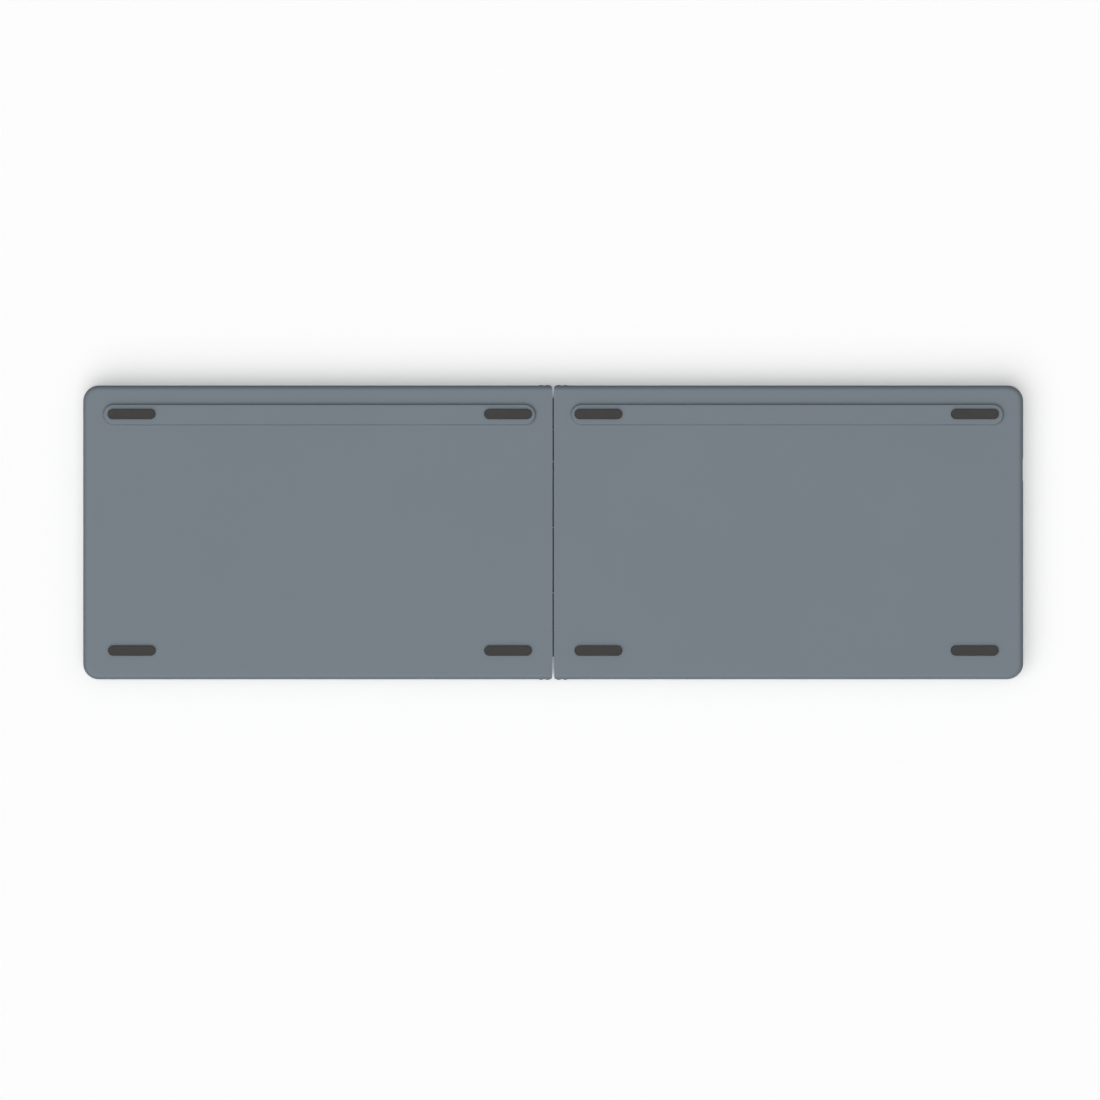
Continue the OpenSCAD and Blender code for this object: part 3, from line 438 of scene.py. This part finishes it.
def silicone(name, colour, roughness, clear=0.0):
    """Silicone rubber: soft sheen, with a faint dusty bloom."""
    material, tree, output = new_material(name)
    place = add_node(tree, "ShaderNodeTexCoord").outputs["Object"]
    bloom = add_node(tree, "ShaderNodeTexNoise", {"Scale": 1 / (0.9 * MM), "Detail": 5.0},
                     {"Vector": place})
    base = hex_colour(colour)
    tone = add_node(tree, "ShaderNodeMix",
                    {"data_type": "RGBA", 6: base, 7: [min(1, c * 1.12) for c in base[:3]] + [1]},
                    {0: bloom.outputs["Fac"]})
    dull = add_node(tree, "ShaderNodeMapRange",
                    {"To Min": roughness - 0.08, "To Max": roughness + 0.08},
                    {"Value": bloom.outputs["Fac"]})
    relief = add_node(tree, "ShaderNodeBump", {"Distance": 0.01 * MM}, {"Height": bloom.outputs["Fac"]})
    shader = add_node(tree, "ShaderNodeBsdfPrincipled", {"IOR": 1.42, "Transmission Weight": clear},
                      {"Base Color": tone.outputs[2], "Roughness": dull.outputs[0],
                       "Normal": relief.outputs[0]})
    tree.links.new(shader.outputs[0], output.inputs["Surface"])
    return material


def flatten_with(piece):
    """Gives the piece a mesh of its own."""
    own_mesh(piece)


dome_silicone = silicone("clear dome silicone", "#d8d8d4", 0.35, 0.2)
for (side, node), row_keys in KEYS.items():
    domes = bmesh.new()
    for (x, y), units, legend in row_keys:
        verts = [domes.verts.new((x + r, y, SHEET_Z + z)) for r, z in DOME_PROFILE]
        edges = [domes.edges.new(pair) for pair in zip(verts, verts[1:])]
        bmesh.ops.spin(domes, geom=verts + edges, angle=math.tau, steps=DOME_SEGMENTS,
                       axis=(0, 0, 1), cent=(x, y, 0), use_merge=True)
    piece = add_piece("domes_" + node, domes, side + "_half", [dome_silicone],
                      ["key_domes_" + side])
    flatten_with(piece)

# ---- scissor links ----
# Two crossed frames of white acetal under each key that keep it level, snapped into the cap's
# hooks above and the plate below.
LINK_W = 9.4
LINK_L = 10.0
LINK_BAR = 0.85
LINK_T = 0.5
LINK_GAP = 0.25
LINK_TOP = 5.3
LINK_REST = 0.04
PIVOT_R = 0.2
PIVOT_L = 0.4
link_angle = math.asin((LINK_TOP - SHEET_Z - LINK_REST - LINK_T) / LINK_L)
inner_w = LINK_W - 2 * LINK_BAR - 2 * LINK_GAP


def add_link(bm, place, width):
    """A moulded frame of four bars in the XY plane of place."""
    made = bmesh.ops.create_grid(bm, x_segments=1, y_segments=1, size=0.5,
                                 matrix=place @ Matrix.Translation((0, 0, LINK_T / 2))
                                 @ Matrix.Diagonal((width, LINK_L, 1, 1)))
    panel = made["verts"][0].link_faces[0]
    rim = bmesh.ops.inset_region(bm, faces=[panel], thickness=LINK_BAR, use_even_offset=True)["faces"]
    bmesh.ops.delete(bm, geom=[panel], context="FACES_ONLY")
    bmesh.ops.solidify(bm, geom=rim, thickness=LINK_T)


acetal = moulded_plastic("white moulded acetal", "#f0f0ec", 0.3, 1.2, 0.003, 0.01)
for (side, node), row_keys in KEYS.items():
    links = bmesh.new()
    for (x, y), units, legend in row_keys:
        crossing = Matrix.Translation((x, y, (LINK_TOP + SHEET_Z) / 2))
        add_link(links, crossing @ Matrix.Rotation(link_angle, 4, "X"), LINK_W)
        add_link(links, crossing @ Matrix.Rotation(-link_angle, 4, "X"), inner_w)
        for end in (-1, 1):
            pivot = crossing @ Matrix.Translation((end * inner_w / 2, 0, 0))
            bmesh.ops.create_cone(links, cap_ends=True, segments=8, radius1=PIVOT_R, radius2=PIVOT_R,
                                  depth=PIVOT_L, matrix=pivot @ Matrix.Rotation(math.pi / 2, 4, "Y"))
    piece = add_piece("scissors_" + node, links, side + "_half", [acetal],
                      ["scissor_links_" + side])
    flatten_with(piece)

# ---- stabiliser wires ----
# Bright drawn steel wire, bent round the inside of each wide cap so that it stays level.
dress(bare_metal("bright drawn wire", "#b8babc", 0.22, (2, 0.3, 0.3)), *both_halves("stabiliser_wires"))

# ---- deck frames, magnets and status lights ----
# The frames that the keys come up through, moulded in ABS a shade darker than the cases, with the
# closing magnets and three clear light pipes let into the rim.
dress(moulded_plastic("dark blue-grey moulded ABS", "#6f7880", 0.5, 0.5, 0.01),
      *both_halves("deck_frame"))
dress(bare_metal("nickel plating", "#c9ccce", 0.14, (2, 2, 2), 0.001), *both_halves("magnets"))
acrylic, tree, output = new_material("frosted clear acrylic")
place = add_node(tree, "ShaderNodeTexCoord").outputs["Object"]
frost = add_node(tree, "ShaderNodeTexNoise", {"Scale": 1 / (0.2 * MM)}, {"Vector": place})
haze = add_node(tree, "ShaderNodeMapRange", {"To Min": 0.15, "To Max": 0.4},
                {"Value": frost.outputs["Fac"]})
shader = add_node(tree, "ShaderNodeBsdfPrincipled",
                  {"IOR": 1.49, "Base Color": hex_colour("#e8f4ff"), "Transmission Weight": 0.6},
                  {"Roughness": haze.outputs[0]})
tree.links.new(shader.outputs[0], output.inputs["Surface"])
dress(acrylic, "status_lights")

# ---- key caps ----
# Low tiles moulded in charcoal ABS, with a shallow dish on top, open underneath, and the boss that
# presses the dome. The legends are laser-marked: plain letters and signs in pale grey.
CAP_Z = 4.8
CAP_H = 1.7
CAP_D = UNIT_Y - KEY_GAP
CAP_R = 1.4
CAP_EDGE = 0.35
CAP_TOP_T = 0.8
SKIRT_T = 0.7
DISH = [(0.5, 0.03), (0.8, 0.06), (1.2, 0.06), (1.6, 0.03)]
PLUNGER_R = 1.2
PLUNGER_Z = 5.1
HOOK = (1.2, 0.8)
INK_T = 0.03
LETTER_SIZE = 4.6
SIGN_SIZE = 3.2
WORD_SIZE = 3.0
ARROW_R = 1.3
ARROW_TURNS = {"up": 0, "left": 90, "down": 180, "right": 270}
top_z = CAP_Z + CAP_H
legend_z = top_z - sum(drop for inset, drop in DISH)
ceiling_z = top_z - CAP_TOP_T


def add_cap(bm, x, y, units):
    """One key cap with its boss and hooks, drawn at the origin and then moved to its place."""
    width = units * UNIT_X - KEY_GAP
    tile = bmesh.new()
    add_block(tile, (-width / 2, -CAP_D / 2, CAP_Z), (width / 2, CAP_D / 2, top_z))
    upright = [edge for edge in tile.edges if abs(edge.verts[0].co.z - edge.verts[1].co.z) > CAP_H / 2]
    bmesh.ops.bevel(tile, geom=upright, offset=CAP_R, offset_type="OFFSET", segments=6,
                    profile=0.5, affect="EDGES", material=-1)
    top = max(tile.faces, key=lambda face: face.calc_center_median().z)
    bmesh.ops.bevel(tile, geom=list(top.edges), offset=CAP_EDGE, offset_type="OFFSET", segments=3,
                    profile=0.5, affect="EDGES", material=-1)
    top = max(tile.faces, key=lambda face: face.calc_center_median().z)
    reach = (width / 2 - CAP_EDGE, CAP_D / 2 - CAP_EDGE)
    for inset, drop in DISH:
        top = bmesh.ops.extrude_discrete_faces(tile, faces=[top])["faces"][0]
        shrink = [(half - inset) / half for half in reach]
        bmesh.ops.scale(tile, verts=top.verts, vec=(*shrink, 1))
        bmesh.ops.translate(tile, verts=top.verts, vec=(0, 0, -drop))
        reach = [half - inset for half in reach]
    bottom = min(tile.faces, key=lambda face: face.calc_center_median().z)
    bmesh.ops.inset_region(tile, faces=[bottom], thickness=SKIRT_T, use_even_offset=True)
    bottom = bmesh.ops.extrude_discrete_faces(tile, faces=[bottom])["faces"][0]
    bmesh.ops.translate(tile, verts=bottom.verts, vec=(0, 0, ceiling_z - CAP_Z))
    boss_h = ceiling_z + CAP_TOP_T / 2 - PLUNGER_Z
    bmesh.ops.create_cone(tile, cap_ends=True, segments=24, radius1=PLUNGER_R, radius2=PLUNGER_R,
                          depth=boss_h,
                          matrix=Matrix.Translation((0, 0, PLUNGER_Z + boss_h / 2)))
    for hook_x in (-LINK_W / 2 + LINK_BAR, LINK_W / 2 - LINK_BAR):
        for hook_y in (-LINK_L / 2 + LINK_BAR, LINK_L / 2 - LINK_BAR):
            add_block(tile, (hook_x - HOOK[0] / 2, hook_y - HOOK[1] / 2, LINK_TOP),
                      (hook_x + HOOK[0] / 2, hook_y + HOOK[1] / 2, ceiling_z + CAP_TOP_T / 2))
    tile.transform(Matrix.Translation((x, y, 0)))
    mesh = bpy.data.meshes.new("cap")
    tile.to_mesh(mesh)
    tile.free()
    bm.from_mesh(mesh)
    bpy.data.meshes.remove(mesh)


def add_words(bm, words, size, x, y):
    """Thin raised lettering, centred on a key."""
    text = bpy.data.curves.new("words", "FONT")
    text.body = words
    text.size = size
    text.align_x = "CENTER"
    text.align_y = "CENTER"
    text.extrude = INK_T / 2
    text.resolution_u = 2
    holder = bpy.data.objects.new("words", text)
    mesh = bpy.data.meshes.new_from_object(holder)
    mesh.transform(Matrix.Translation((x, y, legend_z)))
    bm.from_mesh(mesh)
    bpy.data.objects.remove(holder)
    bpy.data.curves.remove(text)
    bpy.data.meshes.remove(mesh)


def add_legend(bm, legend, x, y):
    """Marks one key: an arrow, a letter, two signs or a word."""
    if legend in ARROW_TURNS:
        turn = Matrix.Rotation(math.radians(ARROW_TURNS[legend]), 4, "Z")
        bmesh.ops.create_cone(bm, cap_ends=True, segments=3, radius1=ARROW_R, radius2=ARROW_R,
                              depth=INK_T,
                              matrix=Matrix.Translation((x, y, legend_z)) @ turn)
    elif len(legend) == 1:
        add_words(bm, legend, LETTER_SIZE, x, y)
    elif legend:
        add_words(bm, legend, SIGN_SIZE if "\n" in legend else WORD_SIZE, x, y)


charcoal = moulded_plastic("charcoal moulded ABS", "#33373b", 0.55, 0.35, 0.01)
marking = moulded_plastic("pale laser marking", "#c9cdd0", 0.6, 0.3, 0.004)
for (side, node), row_keys in KEYS.items():
    caps = bmesh.new()
    for (x, y), units, legend in row_keys:
        add_cap(caps, x, y, units)
    plain = len(caps.faces)
    for (x, y), units, legend in row_keys:
        add_legend(caps, legend, x, y)
    caps.faces.ensure_lookup_table()
    for face in caps.faces[plain:]:
        face.material_index = 1
    add_piece("caps_" + node, caps, node, [charcoal, marking], [node])

# ---- hinge leaves and pins ----
# Two die-cast zinc leaves with interlocking knuckles, painted to match and screwed to the cases'
# rails, on two ground steel pins. They are the only link between the halves beside the ribbon.
paint, tree, output = new_material("satin paint on die-cast zinc")
place = add_node(tree, "ShaderNodeTexCoord").outputs["Object"]
peel = add_node(tree, "ShaderNodeTexNoise", {"Scale": 1 / (0.8 * MM), "Detail": 2.0}, {"Vector": place})
tone = add_node(tree, "ShaderNodeMix",
                {"data_type": "RGBA", 6: hex_colour("#585f65"), 7: hex_colour("#62696f")},
                {0: peel.outputs["Fac"]})
relief = add_node(tree, "ShaderNodeBump", {"Distance": 0.01 * MM}, {"Height": peel.outputs["Fac"]})
shader = add_node(tree, "ShaderNodeBsdfPrincipled", {"IOR": 1.5, "Roughness": 0.42, "Coat Weight": 0.2},
                  {"Base Color": tone.outputs[2], "Normal": relief.outputs[0]})
tree.links.new(shader.outputs[0], output.inputs["Surface"])
dress(paint, *both_halves("hinge_leaf"))
dress(bare_metal("ground steel", "#c4c7ca", 0.2, (0.3, 0.3, 0.3), 0.001), "hinge_pins")

# ---- feet ----
# Four soft rubber bars under each half, moulded in silicone and glued into shallow pockets: the
# rear ones on the ridge, the front ones on the flat underside.
dress(silicone("dark foot silicone", "#3c3b3a", 0.7), *both_halves("feet"))
